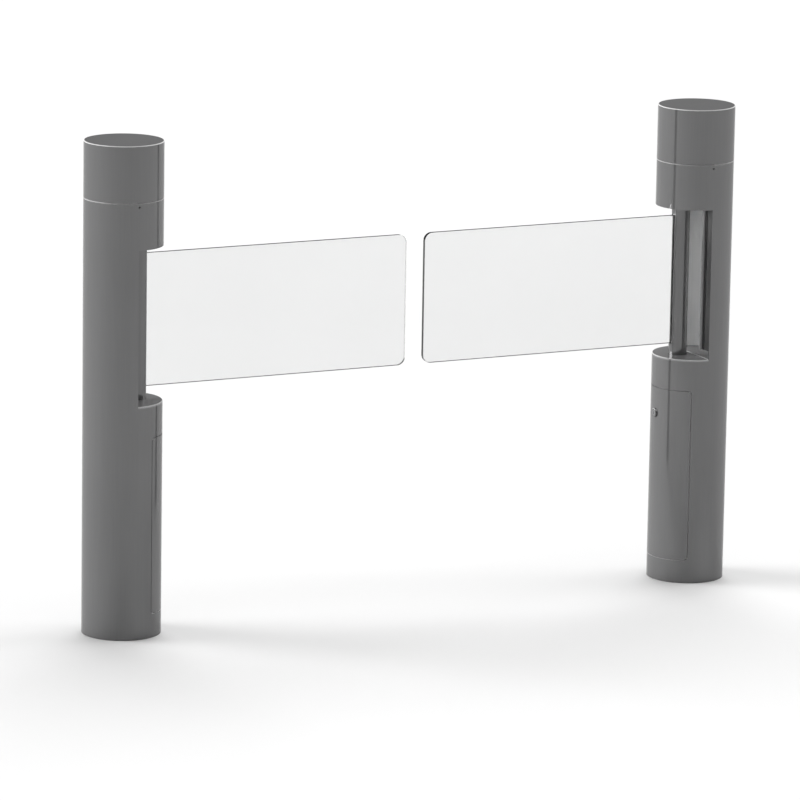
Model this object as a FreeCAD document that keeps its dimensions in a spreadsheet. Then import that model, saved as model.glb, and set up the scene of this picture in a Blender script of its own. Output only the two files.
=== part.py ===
import FreeCAD, Part
import math
import os
import re
import Sketcher
from FreeCAD import Placement, Rotation, Vector

# Swing turnstile: two round gate posts, each with a half-round window in which a
# column turns and carries a clear wing. X runs along the line of the posts, Y along
# the walk through the lane, Z up; the origin is on the floor midway between the posts.
# A post is drawn with its axis on Z and the lane on its +X side; the right post is the
# same post turned half round.

# Driving sizes in millimetres, degrees and counts.
SIZES = {
    # Posts
    "post_spacing": 1350,
    "post_diameter": 168,
    "post_height": 1050,
    "tube_wall": 2.5,
    "edge_bevel": 1.5,
    "weld_gap": 0.1,
    # Head cap
    "cap_height": 120,
    "cap_top": 3,
    "cap_bevel": 1.5,
    "cap_seam": 0.6,
    "spigot_gap": 0.2,
    "spigot_wall": 3,
    "spigot_drop": 18,
    "spigot_rise": 15,
    "cap_screw_diameter": 4,
    "cap_screw_drop": 9,
    "cap_screw_length": 7,
    "cap_screw_recess": 1,
    "thread_gap": 0.05,
    # Window
    "window_drop": 100,
    "window_height": 330,
    "window_lip": 25,
    "lip_relief": 18,
    "floor_thickness": 4,
    "deck_thickness": 8,
    "ceiling_thickness": 8,
    # Base
    "base_thickness": 10,
    "anchor_circle": 120,
    "anchor_hole": 12,
    "anchor_count": 4,
    "cable_hole": 50,
    # Wing column
    "column_offset": 32,
    "column_diameter": 40,
    "column_gap": 0.5,
    "column_top_gap": 1,
    "shaft_diameter": 24,
    "journal_diameter": 30,
    "journal_length": 20,
    "running_fit": 0.05,
    "slot_depth": 6,
    "slot_end_gap": 1,
    # Wing
    "wing_thickness": 10,
    "wing_clearance": 25.5,
    "wing_top_clearance": 21,
    "wing_gap": 43,
    "wing_corner": 18,
    "wing_inset": 5,
    "wing_edge_bevel": 0.6,
    "gasket_thickness": 1,
    "gasket_inset": 2,
    "clamp_screw_diameter": 6,
    "clamp_screw_length": 10,
    "clamp_screw_reach": 9,
    "clamp_screw_count": 4,
    # Lower bearing and its housing
    "bearing_bore": 30,
    "bearing_diameter": 55,
    "bearing_width": 13,
    "ball_diameter": 8,
    "ball_count": 11,
    "ball_gap": 0.1,
    "race_wall": 4.1,
    "housing_wall": 5,
    "housing_lip": 4,
    "housing_flange": 6,
    "housing_flange_width": 9.5,
    "housing_screw_diameter": 5,
    "housing_screw_count": 4,
    "screw_bite": 6,
    "screw_head_ratio": 1.6,
    # Upper bush
    "bush_wall": 3,
    "bush_flange_diameter": 44,
    "bush_flange": 3,
    # Drive
    "stack_gap": 3,
    "gear_wall_gap": 7.5,
    "gear_teeth": 54,
    "pinion_teeth": 18,
    "pressure_angle": 20,
    "gear_backlash": 0.2,
    "gear_width": 12,
    "pinion_overlap": 1,
    "pinion_shaft_diameter": 12,
    "pinion_shaft_depth": 22,
    "plate_thickness": 8,
    "pillar_diameter": 12,
    "pillar_x": 46,
    "pillar_gap": 2,
    "gearbox_diameter": 56,
    "gearbox_length": 60,
    "gearbox_pilot": 22,
    "motor_diameter": 48,
    "motor_length": 70,
    "motor_end_cap": 10,
    "motor_end_step": 3,
    "motor_screw_circle": 44,
    "motor_screw_diameter": 4,
    "motor_screw_count": 4,
    # Stops
    "arm_thickness": 10,
    "arm_reach": 30,
    "arm_width": 10,
    "arm_hub_diameter": 40,
    "buffer_diameter": 12,
    "buffer_gap": 0.4,
    "buffer_inset": 5,
    # Access door
    "door_bottom": 51,
    "door_drop": 70,
    "door_half_angle": 65,
    "door_corner": 9,
    "door_seam": 0.8,
    "door_bevel": 0.5,
    "frame_lap": 10,
    "frame_wall": 2,
    "keeper_width": 24,
    "keeper_depth": 4,
    "keeper_height": 50,
    "hook_width": 24,
    "hook_thickness": 2,
    "hook_reach": 7.5,
    "hook_drop": 15,
    "hook_clearance": 2,
    # Lock
    "lock_drop": 58,
    "lock_flange_diameter": 19.5,
    "lock_seat": 0.8,
    "lock_proud": 3.5,
    "lock_bevel": 0.8,
    "lock_barrel_diameter": 16.5,
    "lock_barrel_length": 18,
    "lock_gap": 0.2,
    "plug_diameter": 12,
    "plug_tail_diameter": 8,
    "key_slot_length": 7,
    "key_slot_width": 1.6,
    "key_slot_depth": 6,
    "cam_thickness": 2.5,
    "cam_width": 12,
    "cam_overlap": 12,
    # Control board
    "board_length": 100,
    "board_width": 76,
    "board_thickness": 1.6,
    "board_inset": 6,
    "standoff_diameter": 7,
    "standoff_height": 14,
    "terminal_length": 60,
    "terminal_width": 10,
    "terminal_height": 12,
    "heat_sink_length": 34,
    "heat_sink_width": 24,
    "heat_sink_height": 18,
    "capacitor_diameter": 16,
    "capacitor_height": 26,
}

doc = FreeCAD.newDocument("SwingTurnstile")
sheet = doc.addObject("Spreadsheet::Sheet", "Sizes")
for row, (alias, number) in enumerate(SIZES.items(), 1):
    sheet.set(f"A{row}", alias)
    sheet.set(f"B{row}", str(number))
    sheet.setAlias(f"B{row}", alias)
doc.recompute()

SIDES = ("left", "right")
QUARTER_TURN_TO_LANE = Rotation(Vector(0, 1, 0), 90)

# Radii and levels that follow from the driving sizes.
POST_RADIUS = "post_diameter / 2"
TUBE_BORE = "(post_diameter / 2 - tube_wall)"
DISC_RADIUS = "(post_diameter / 2 - tube_wall - weld_gap)"
SEAM = "(post_height - cap_height)"
CAP_SCREW_LEVEL = "(post_height - cap_height - cap_screw_drop)"
WINDOW_TOP = f"({SEAM} - window_drop)"
WINDOW_BOTTOM = f"({WINDOW_TOP} - window_height)"
WING_BOTTOM = f"({WINDOW_BOTTOM} + wing_clearance)"
WING_HEIGHT = "(window_height - wing_clearance - wing_top_clearance)"
SLOT_HALF = "(wing_thickness / 2 + gasket_thickness)"
COLUMN_RADIUS = "column_diameter / 2"
COLUMN_TOP = f"({WINDOW_TOP} - bush_flange - column_top_gap)"
DECK_BOTTOM = f"({WINDOW_BOTTOM} - floor_thickness - deck_thickness)"
BEARING_BOTTOM = f"({DECK_BOTTOM} - bearing_width)"
HOUSING_BOTTOM = f"({BEARING_BOTTOM} - housing_lip)"
HOUSING_BARREL = "(bearing_diameter / 2 + thread_gap + housing_wall)"
HOUSING_SCREW_CIRCLE = f"(2 * {HOUSING_BARREL} + housing_flange_width)"
GEAR_TOP = f"({HOUSING_BOTTOM} - stack_gap)"
GEAR_BOTTOM = f"({GEAR_TOP} - gear_width)"
ARM_TOP = f"({GEAR_BOTTOM} - stack_gap)"
ARM_BOTTOM = f"({ARM_TOP} - arm_thickness)"
PLATE_TOP = f"({ARM_BOTTOM} - stack_gap)"
PLATE_BOTTOM = f"({PLATE_TOP} - plate_thickness)"
GEARBOX_BOTTOM = f"({PLATE_BOTTOM} - gearbox_length)"
GEAR_TIP_RADIUS = f"({TUBE_BORE} - column_offset - gear_wall_gap)"
GEAR_MODULE = f"({GEAR_TIP_RADIUS} * 2 / (gear_teeth + 2))"
PINION_X = f"(column_offset - {GEAR_MODULE} * (gear_teeth + pinion_teeth) / 2)"
PILLAR_Y = f"({GEAR_TIP_RADIUS} + pillar_gap + pillar_diameter / 2)"
DOOR_TOP = f"({WINDOW_BOTTOM} - door_drop)"
DOOR_HEIGHT = f"({DOOR_TOP} - door_bottom)"
FRAME_OUTER = DISC_RADIUS
FRAME_INNER = f"({DISC_RADIUS} - frame_wall)"
KEEPER_FACE = f"({FRAME_INNER} - keeper_depth + frame_wall / 2)"
KEEPER_BOTTOM = f"({DOOR_TOP} + frame_lap - keeper_height)"
LOCK_LEVEL = f"({DOOR_TOP} - lock_drop)"
CAM_REACH = f"({KEEPER_BOTTOM} + cam_overlap - {LOCK_LEVEL})"
SEAM_ANGLE = "(door_seam / post_diameter * 360 / pi)"
LAP_ANGLE = "(frame_lap / post_diameter * 360 / pi)"
BOARD_BOTTOM = f"({WINDOW_TOP} + ceiling_thickness + standoff_height)"
BALL_CIRCLE = "(bearing_bore + bearing_diameter) / 4"


def bound(expression):
    """The expression with each size pointing at its cell of the sheet."""
    return re.sub(r"[a-z_]+", lambda word: f"Sizes.{word[0]}" if word[0] in SIZES else word[0], expression)


def value(expression):
    """The number that an expression gives with the sheet as it is."""
    return float(sheet.evalExpression(bound(expression)))


def on_both_posts(x, y):
    """A point of the post, seen from the middle of the lane, on the left and on the right post."""
    return [(f"-post_spacing / 2 + ({x})", y), (f"post_spacing / 2 - ({x})", f"-({y})")]


def new_body(label, group=False):
    """An empty body; a group holds several loose solids of one kind."""
    body = doc.addObject("PartDesign::Body", label)
    body.Label = label
    body.AllowCompound = group
    return body


def post_body(side, name, x="0", y="0", z="0", turn=Rotation(), group=False):
    """An empty body of one post, its own origin at a point of that post."""
    body = new_body(f"{side}_{name}", group)
    place(body, side, x, y, z, turn)
    return body


def place(item, side, x="0", y="0", z="0", turn=Rotation()):
    """Sets an object on its post, with the right post turned half round."""
    half_round = Rotation(Vector(0, 0, 1), 180 if side == "right" else 0)
    item.Placement = Placement(Vector(), half_round.multiply(turn))
    global_x, global_y = on_both_posts(x, y)[SIDES.index(side)]
    item.setExpression("Placement.Base.x", bound(global_x))
    item.setExpression("Placement.Base.y", bound(global_y))
    item.setExpression("Placement.Base.z", bound(z))


def sketch_on(body, plane="XY_Plane", offset="0"):
    """A sketch on one of the body's own planes, moved along the plane's normal."""
    sketch = body.newObject("Sketcher::SketchObject", f"{body.Name}_sketch")
    support = [part for part in body.Origin.OriginFeatures if part.Role == plane][0]
    sketch.AttachmentSupport = [(support, "")]
    sketch.MapMode = "FlatFace"
    sketch.setExpression("AttachmentOffset.Base.z", bound(offset))
    return sketch


def hold(sketch, kind, curve, point, expression):
    """Holds one coordinate of a sketch point at an expression."""
    number = sketch.addConstraint(Sketcher.Constraint(kind, -1, 1, curve, point, value(expression)))
    sketch.setExpression(f"Constraints[{number}]", bound(expression))


def circle(sketch, radius, x="0", y="0"):
    """A circle with its radius and centre held."""
    centre = Vector(value(x), value(y), 0)
    curve = sketch.addGeometry(Part.Circle(centre, Vector(0, 0, 1), value(radius)), False)
    number = sketch.addConstraint(Sketcher.Constraint("Radius", curve, value(radius)))
    sketch.setExpression(f"Constraints[{number}]", bound(radius))
    hold(sketch, "DistanceX", curve, 3, x)
    hold(sketch, "DistanceY", curve, 3, y)


def polygon(sketch, points):
    """A closed outline of straight lines with every corner held."""
    corners = [Vector(value(x), value(y), 0) for x, y in points]
    lines = []
    for start, end in zip(corners, corners[1:] + corners[:1]):
        lines.append(sketch.addGeometry(Part.LineSegment(start, end), False))
    for line, following in zip(lines, lines[1:] + lines[:1]):
        sketch.addConstraint(Sketcher.Constraint("Coincident", line, 2, following, 1))
    for line, (x, y) in zip(lines, points):
        hold(sketch, "DistanceX", line, 1, x)
        hold(sketch, "DistanceY", line, 1, y)


def rectangle(sketch, x_low, x_high, y_low, y_high):
    polygon(sketch, [(x_low, y_low), (x_high, y_low), (x_high, y_high), (x_low, y_high)])


def ring_of(count, circle_diameter):
    """Points evenly round a circle, half a step off the X axis."""
    total = int(value(count))
    points = []
    for index in range(total):
        angle = f"(360 / {count} * {index + 0.5})"
        points.append((f"{circle_diameter} / 2 * cos({angle})", f"{circle_diameter} / 2 * sin({angle})"))
    return points


def extrude(body, kind, sketch, length, backwards=False, both_ways=False):
    """A Pad or Pocket of the sketch."""
    feature = body.newObject(f"PartDesign::{kind}", f"{body.Name}_{kind}")
    feature.Profile = sketch
    feature.setExpression("Length", bound(length))
    feature.Reversed = backwards
    if both_ways:
        feature.SideType = "Symmetric"
    doc.recompute()
    return feature


def turned(body, points):
    """A solid turned about the body's Z axis from an outline of radius and height."""
    sketch = sketch_on(body, "XZ_Plane")
    polygon(sketch, points)
    feature = body.newObject("PartDesign::Revolution", f"{body.Name}_turned")
    feature.Profile = sketch
    feature.ReferenceAxis = (sketch, ["V_Axis"])
    feature.Angle = 360
    doc.recompute()
    return feature


def dress(body, kind, size, wanted):
    """A Fillet or Chamfer on the edges of the body's tip that pass the test."""
    tip = body.Tip
    names = [f"Edge{number}" for number, edge in enumerate(tip.Shape.Edges, 1) if wanted(edge)]
    feature = body.newObject(f"PartDesign::{kind}", f"{body.Name}_{kind}")
    feature.Base = (tip, names)
    feature.setExpression("Radius" if kind == "Fillet" else "Size", bound(size))
    doc.recompute()
    return feature


def near(first, second):
    return abs(first - second) < 1e-4


def is_straight(edge):
    return isinstance(edge.Curve, Part.Line)


def is_rim(edge, radius, level):
    """A round edge of that radius lying at that level."""
    if not isinstance(edge.Curve, Part.Circle):
        return False
    return near(edge.Curve.Radius, value(radius)) and near(edge.Curve.Center.z, value(level))


def is_radial_corner(edge, levels):
    """A short level edge through the tube wall at one of the levels."""
    low, high = edge.BoundBox.ZMin, edge.BoundBox.ZMax
    at_level = any(near(low, value(level)) and near(high, value(level)) for level in levels)
    return is_straight(edge) and at_level and near(edge.Length, value("tube_wall"))


def is_opening_outline(edge):
    """An edge of the door opening on the outside of the tube."""
    box = edge.BoundBox
    at_door = box.ZMin > value("door_bottom") - 1e-4 and box.ZMax < value(DOOR_TOP) + 1e-4
    return at_door and all(near(math.hypot(end.X, end.Y), value(POST_RADIUS)) for end in edge.Vertexes)


def wedge(sketch, half_angle):
    """The wedge of the lane side that a door opening spans, out past the tube."""
    reach = f"post_diameter / cos({half_angle})"
    side_x = f"{reach} * cos({half_angle})"
    side_y = f"{reach} * sin({half_angle})"
    polygon(sketch, [("0", "0"), (side_x, f"-{side_y}"), (side_x, side_y)])


def all_but_wedge(sketch, half_angle):
    """Everything round the post apart from that wedge."""
    reach = "post_diameter"
    side_x = f"{reach} * cos({half_angle})"
    side_y = f"{reach} * sin({half_angle})"
    back = [(f"-{reach}", reach), (f"-{reach}", f"-{reach}")]
    polygon(sketch, [("0", "0"), (side_x, side_y)] + back + [(side_x, f"-{side_y}")])


def make_post_tube(side):
    """Main tube with the half-round window and its folded lips, the door opening and the cap screw holes."""
    body = post_body(side, "post_tube")
    sketch = sketch_on(body)
    circle(sketch, POST_RADIUS)
    circle(sketch, TUBE_BORE)
    extrude(body, "Pad", sketch, f"{SEAM}")
    dress(body, "Chamfer", "edge_bevel", lambda edge: is_rim(edge, POST_RADIUS, SEAM))
    sketch = sketch_on(body, offset=WINDOW_TOP)
    rectangle(sketch, "0", "post_diameter", "-post_diameter", "post_diameter")
    extrude(body, "Pocket", sketch, "window_height + floor_thickness")
    sketch = sketch_on(body, offset=f"{WINDOW_BOTTOM} + lip_relief")
    lip_root = f"{TUBE_BORE} + tube_wall / 2"
    lip_edge = f"{POST_RADIUS} - window_lip"
    rectangle(sketch, "-tube_wall", "0", lip_edge, lip_root)
    rectangle(sketch, "-tube_wall", "0", f"-({lip_root})", f"-({lip_edge})")
    extrude(body, "Pad", sketch, "window_height - lip_relief - weld_gap")
    sketch = sketch_on(body, offset=DOOR_TOP)
    wedge(sketch, "door_half_angle")
    extrude(body, "Pocket", sketch, DOOR_HEIGHT)
    dress(body, "Fillet", "door_corner", lambda edge: is_radial_corner(edge, ("door_bottom", DOOR_TOP)))
    dress(body, "Chamfer", "door_bevel", is_opening_outline)
    sketch = sketch_on(body, "XZ_Plane")
    circle(sketch, "cap_screw_diameter / 2 + thread_gap", y=CAP_SCREW_LEVEL)
    extrude(body, "Pocket", sketch, "2 * post_diameter", both_ways=True)
    return body


def make_base_flange(side):
    """Floor plate welded into the tube, with anchor holes and a cable hole."""
    body = post_body(side, "base_flange")
    sketch = sketch_on(body)
    circle(sketch, DISC_RADIUS)
    circle(sketch, "cable_hole / 2")
    for x, y in ring_of("anchor_count", "anchor_circle"):
        circle(sketch, "anchor_hole / 2", x, y)
    extrude(body, "Pad", sketch, "base_thickness")
    return body


def make_head_cap(side):
    """Closed cap with the spigot that sits in the top of the tube."""
    body = post_body(side, "head_cap")
    spigot_radius = f"{TUBE_BORE} - spigot_gap"
    spigot_bore = f"{spigot_radius} - spigot_wall"
    rim = f"{SEAM} + cap_seam"
    turned(body, [
        ("0", "post_height"),
        (f"{POST_RADIUS} - cap_bevel", "post_height"),
        (POST_RADIUS, "post_height - cap_bevel"),
        (POST_RADIUS, rim),
        (spigot_radius, rim),
        (spigot_radius, f"{SEAM} - spigot_drop"),
        (spigot_bore, f"{SEAM} - spigot_drop"),
        (spigot_bore, f"{SEAM} + spigot_rise"),
        (TUBE_BORE, f"{SEAM} + spigot_rise"),
        (TUBE_BORE, "post_height - cap_top"),
        ("0", "post_height - cap_top"),
    ])
    sketch = sketch_on(body, "XZ_Plane")
    circle(sketch, "cap_screw_diameter / 2 + thread_gap", y=CAP_SCREW_LEVEL)
    extrude(body, "Pocket", sketch, "2 * post_diameter", both_ways=True)
    return body


def make_window_floor(side):
    """Half-round sill on the tube's cut end, with the column's hole and a bevelled rim."""
    body = post_body(side, "window_floor")
    sketch = sketch_on(body, offset=f"{WINDOW_BOTTOM} - floor_thickness")
    circle(sketch, POST_RADIUS)
    circle(sketch, f"{COLUMN_RADIUS} + column_gap", "column_offset")
    extrude(body, "Pad", sketch, "floor_thickness")
    sketch = sketch_on(body, offset=WINDOW_BOTTOM)
    rectangle(sketch, "-post_diameter", "0", "-post_diameter", "post_diameter")
    extrude(body, "Pocket", sketch, "floor_thickness")
    dress(body, "Chamfer", "edge_bevel", is_sill_edge)
    return body


def is_upper_chord(edge, x):
    """A straight edge across the post at the level of the window's floor."""
    box = edge.BoundBox
    level = near(box.ZMin, box.ZMax) and near(box.ZMax, value(WINDOW_BOTTOM))
    return level and near(box.XMin, value(x)) and near(box.XMax, value(x))


def is_sill_edge(edge):
    """An upper edge of the sill: its round rim or its straight back."""
    return is_rim(edge, POST_RADIUS, WINDOW_BOTTOM) or is_upper_chord(edge, "0")


def make_drive_deck(side):
    """Thick disc welded in under the window, stepped down for the sill; it carries the drive."""
    body = post_body(side, "drive_deck")
    sketch = sketch_on(body, offset=DECK_BOTTOM)
    circle(sketch, DISC_RADIUS)
    circle(sketch, f"{COLUMN_RADIUS} + column_gap", "column_offset")
    for x, y in ring_of("housing_screw_count", HOUSING_SCREW_CIRCLE):
        circle(sketch, "housing_screw_diameter / 2 + thread_gap", f"column_offset + {x}", y)
    extrude(body, "Pad", sketch, "deck_thickness + floor_thickness")
    sketch = sketch_on(body, offset=WINDOW_BOTTOM)
    rectangle(sketch, "-weld_gap", "post_diameter", "-post_diameter", "post_diameter")
    extrude(body, "Pocket", sketch, "floor_thickness")
    dress(body, "Chamfer", "edge_bevel", lambda edge: is_upper_chord(edge, "-weld_gap"))
    return body


def make_window_ceiling(side):
    """Disc that closes the head from below and holds the upper bush."""
    body = post_body(side, "window_ceiling")
    sketch = sketch_on(body, offset=WINDOW_TOP)
    circle(sketch, DISC_RADIUS)
    circle(sketch, "journal_diameter / 2 + running_fit + bush_wall + thread_gap", "column_offset")
    extrude(body, "Pad", sketch, "ceiling_thickness")
    return body


def make_door_frame(side):
    """Curved frame welded behind the door opening, with the keeper for the lock cam."""
    body = post_body(side, "door_frame")
    sketch = sketch_on(body, offset="door_bottom - frame_lap")
    circle(sketch, FRAME_OUTER)
    circle(sketch, FRAME_INNER)
    extrude(body, "Pad", sketch, f"{DOOR_HEIGHT} + 2 * frame_lap")
    sketch = sketch_on(body, offset=f"{DOOR_TOP} + frame_lap")
    all_but_wedge(sketch, f"(door_half_angle + {LAP_ANGLE})")
    extrude(body, "Pocket", sketch, f"{DOOR_HEIGHT} + 2 * frame_lap")
    sketch = sketch_on(body, offset=f"{DOOR_TOP} - frame_lap")
    wedge(sketch, f"(door_half_angle - {LAP_ANGLE})")
    extrude(body, "Pocket", sketch, f"{DOOR_HEIGHT} - 2 * frame_lap")
    sketch = sketch_on(body, offset=KEEPER_BOTTOM)
    keeper_back = f"{FRAME_INNER} + frame_wall / 2"
    rectangle(sketch, KEEPER_FACE, keeper_back, "-keeper_width / 2", "keeper_width / 2")
    extrude(body, "Pad", sketch, "keeper_height")
    return body


def make_access_door(side):
    """Curved lift-out door, flush with the tube, with its bottom hook and the lock seat."""
    body = post_body(side, "access_door")
    sketch = sketch_on(body, offset="door_bottom + door_seam")
    circle(sketch, POST_RADIUS)
    circle(sketch, TUBE_BORE)
    extrude(body, "Pad", sketch, f"{DOOR_HEIGHT} - 2 * door_seam")
    sketch = sketch_on(body, offset=DOOR_TOP)
    all_but_wedge(sketch, f"(door_half_angle - {SEAM_ANGLE})")
    extrude(body, "Pocket", sketch, DOOR_HEIGHT)
    levels = ("door_bottom + door_seam", f"{DOOR_TOP} - door_seam")
    dress(body, "Fillet", "door_corner - door_seam", lambda edge: is_radial_corner(edge, levels))
    sketch = sketch_on(body, "YZ_Plane", f"{POST_RADIUS} - lock_seat")
    circle(sketch, "lock_flange_diameter / 2 + lock_gap", y=LOCK_LEVEL)
    extrude(body, "Pocket", sketch, "post_diameter", backwards=True)
    sketch = sketch_on(body, "YZ_Plane", "post_diameter")
    circle(sketch, "lock_barrel_diameter / 2 + thread_gap", y=LOCK_LEVEL)
    extrude(body, "Pocket", sketch, "post_diameter")
    hook_root = f"{TUBE_BORE} + tube_wall / 3"
    hook_face = f"{TUBE_BORE} - hook_reach"
    hook_back = f"{hook_face} - hook_thickness"
    hook_level = "door_bottom + frame_lap + hook_clearance"
    sketch = sketch_on(body, "XZ_Plane")
    polygon(sketch, [
        (hook_root, hook_level),
        (hook_root, f"{hook_level} + hook_thickness"),
        (hook_back, f"{hook_level} + hook_thickness"),
        (hook_back, f"{hook_level} - hook_drop"),
        (hook_face, f"{hook_level} - hook_drop"),
        (hook_face, hook_level),
    ])
    extrude(body, "Pad", sketch, "hook_width", both_ways=True)
    return body


def make_lock_barrel(side):
    """Lock housing with a bevelled flange outside the door."""
    body = post_body(side, "lock_barrel", f"{POST_RADIUS} - lock_seat", "0", LOCK_LEVEL, QUARTER_TURN_TO_LANE)
    bore = "plug_diameter / 2 + running_fit"
    face = "lock_seat + lock_proud"
    turned(body, [
        (bore, "-lock_barrel_length"),
        ("lock_barrel_diameter / 2", "-lock_barrel_length"),
        ("lock_barrel_diameter / 2", "0"),
        ("lock_flange_diameter / 2", "0"),
        ("lock_flange_diameter / 2", f"{face} - lock_bevel"),
        ("lock_flange_diameter / 2 - lock_bevel", face),
        (bore, face),
    ])
    return body


def make_lock_plug(side):
    """Turning core of the lock, with a key slot outside and a tail for the cam."""
    body = post_body(side, "lock_plug", f"{POST_RADIUS} - lock_seat", "0", LOCK_LEVEL, QUARTER_TURN_TO_LANE)
    face = "lock_seat + lock_proud"
    shoulder = "-lock_barrel_length - lock_gap"
    turned(body, [
        ("0", f"{shoulder} - cam_thickness"),
        ("plug_tail_diameter / 2", f"{shoulder} - cam_thickness"),
        ("plug_tail_diameter / 2", shoulder),
        ("plug_diameter / 2", shoulder),
        ("plug_diameter / 2", face),
        ("0", face),
    ])
    sketch = sketch_on(body, offset=face)
    rectangle(sketch, "-key_slot_length / 2", "key_slot_length / 2", "-key_slot_width / 2", "key_slot_width / 2")
    extrude(body, "Pocket", sketch, "key_slot_depth")
    return body


def make_lock_cam(side):
    """Tongue on the plug's tail; it lies aside at rest and turns up behind the keeper."""
    body = post_body(side, "lock_cam", f"{POST_RADIUS} - lock_seat", "0", LOCK_LEVEL, QUARTER_TURN_TO_LANE)
    sketch = sketch_on(body, offset="-lock_barrel_length - lock_gap - cam_thickness")
    circle(sketch, "plug_tail_diameter / 2 + thread_gap")
    rectangle(sketch, "-cam_width / 2", "cam_width / 2", "-cam_width / 2", CAM_REACH)
    extrude(body, "Pad", sketch, "cam_thickness")
    return body


def clamp_levels():
    """Heights of the clamp screws, evenly up the wing."""
    total = int(value("clamp_screw_count"))
    return [f"{WING_BOTTOM} + {WING_HEIGHT} / clamp_screw_count * {index + 0.5}" for index in range(total)]


def make_wing_column(side):
    """Turned column with a shaft below, a journal above and the slot for the wing."""
    body = post_body(side, "wing_column", "column_offset")
    seat_radius = "bearing_bore / 2 - thread_gap / 2"
    turned(body, [
        ("0", f"{PLATE_TOP} + stack_gap / 2"),
        ("shaft_diameter / 2", f"{PLATE_TOP} + stack_gap / 2"),
        ("shaft_diameter / 2", f"{BEARING_BOTTOM}"),
        (seat_radius, f"{BEARING_BOTTOM}"),
        (seat_radius, DECK_BOTTOM),
        (COLUMN_RADIUS, DECK_BOTTOM),
        (COLUMN_RADIUS, COLUMN_TOP),
        ("journal_diameter / 2", COLUMN_TOP),
        ("journal_diameter / 2", f"{COLUMN_TOP} + journal_length"),
        ("0", f"{COLUMN_TOP} + journal_length"),
    ])
    sketch = sketch_on(body, offset=f"{WING_BOTTOM} + {WING_HEIGHT} + slot_end_gap")
    rectangle(sketch, "-slot_depth", "column_diameter", f"-{SLOT_HALF}", SLOT_HALF)
    extrude(body, "Pocket", sketch, f"{WING_HEIGHT} + 2 * slot_end_gap")
    sketch = sketch_on(body, "XZ_Plane")
    for level in clamp_levels():
        circle(sketch, "clamp_screw_diameter / 2 + thread_gap", "clamp_screw_reach", level)
    extrude(body, "Pocket", sketch, "column_diameter", backwards=side == "right")
    return body


def make_wing_panel(side):
    """Clear sheet held in the column's slot, with round free corners."""
    body = post_body(side, "wing_panel", "column_offset")
    tip = "post_spacing / 2 - wing_gap / 2 - column_offset"
    sketch = sketch_on(body, "XZ_Plane")
    rectangle(sketch, "-wing_inset", tip, WING_BOTTOM, f"{WING_BOTTOM} + {WING_HEIGHT}")
    extrude(body, "Pad", sketch, "wing_thickness", both_ways=True)
    dress(body, "Fillet", "wing_corner", lambda edge: is_wing_corner(edge, tip))
    dress(body, "Chamfer", "wing_edge_bevel", is_wing_outline)
    return body


def is_wing_corner(edge, tip):
    """An edge through the sheet at its free end."""
    box = edge.BoundBox
    across = near(box.YMax - box.YMin, value("wing_thickness")) and near(box.ZMin, box.ZMax)
    return is_straight(edge) and across and near(box.XMin, value(tip))


def is_wing_outline(edge):
    """An edge round one of the sheet's two large faces."""
    box = edge.BoundBox
    return near(box.YMin, box.YMax) and near(abs(box.YMin), value("wing_thickness / 2"))


def make_wing_gaskets(side):
    """Two rubber strips between the sheet and the cheeks of the slot."""
    body = post_body(side, "wing_gaskets", "column_offset", group=True)
    sketch = sketch_on(body, offset=WING_BOTTOM)
    outer = f"{COLUMN_RADIUS} - gasket_inset"
    rectangle(sketch, "-slot_depth", outer, "wing_thickness / 2", SLOT_HALF)
    rectangle(sketch, "-slot_depth", outer, f"-{SLOT_HALF}", "-wing_thickness / 2")
    extrude(body, "Pad", sketch, WING_HEIGHT)
    return body


def make_clamp_screws(side):
    """Set screws through the far cheek of the column, which press on the gasket."""
    body = post_body(side, "clamp_screws", "column_offset", group=True)
    far_side = "-" if side == "left" else ""
    sketch = sketch_on(body, "XZ_Plane", f"{far_side}{SLOT_HALF}")
    for level in clamp_levels():
        circle(sketch, "clamp_screw_diameter / 2", "clamp_screw_reach", level)
    extrude(body, "Pad", sketch, "clamp_screw_length", backwards=side == "left")
    return body


def make_bearing_housing(side):
    """Flanged cup under the deck for the lower bearing."""
    body = post_body(side, "bearing_housing", "column_offset")
    seat = "bearing_diameter / 2 + thread_gap"
    flange = f"{HOUSING_BARREL} + housing_flange_width"
    lip_bore = f"{seat} - race_wall"
    turned(body, [
        (lip_bore, HOUSING_BOTTOM),
        (HOUSING_BARREL, HOUSING_BOTTOM),
        (HOUSING_BARREL, f"{DECK_BOTTOM} - housing_flange"),
        (flange, f"{DECK_BOTTOM} - housing_flange"),
        (flange, DECK_BOTTOM),
        (seat, DECK_BOTTOM),
        (seat, BEARING_BOTTOM),
        (lip_bore, BEARING_BOTTOM),
    ])
    sketch = sketch_on(body, offset=DECK_BOTTOM)
    for x, y in ring_of("housing_screw_count", HOUSING_SCREW_CIRCLE):
        circle(sketch, "housing_screw_diameter / 2 + thread_gap", x, y)
    extrude(body, "Pocket", sketch, "housing_flange")
    return body


def round_bar(radius, height, side, z):
    """A plain cylinder on the column's axis."""
    bar = doc.addObject("Part::Cylinder", "RoundBar")
    bar.setExpression("Radius", bound(radius))
    bar.setExpression("Height", bound(height))
    place(bar, side, "column_offset", "0", z)
    return bar


def cut_from(base, tool, label):
    cut = doc.addObject("Part::Cut", label)
    cut.Label = label
    cut.Base = base
    cut.Tool = tool
    return cut


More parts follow.
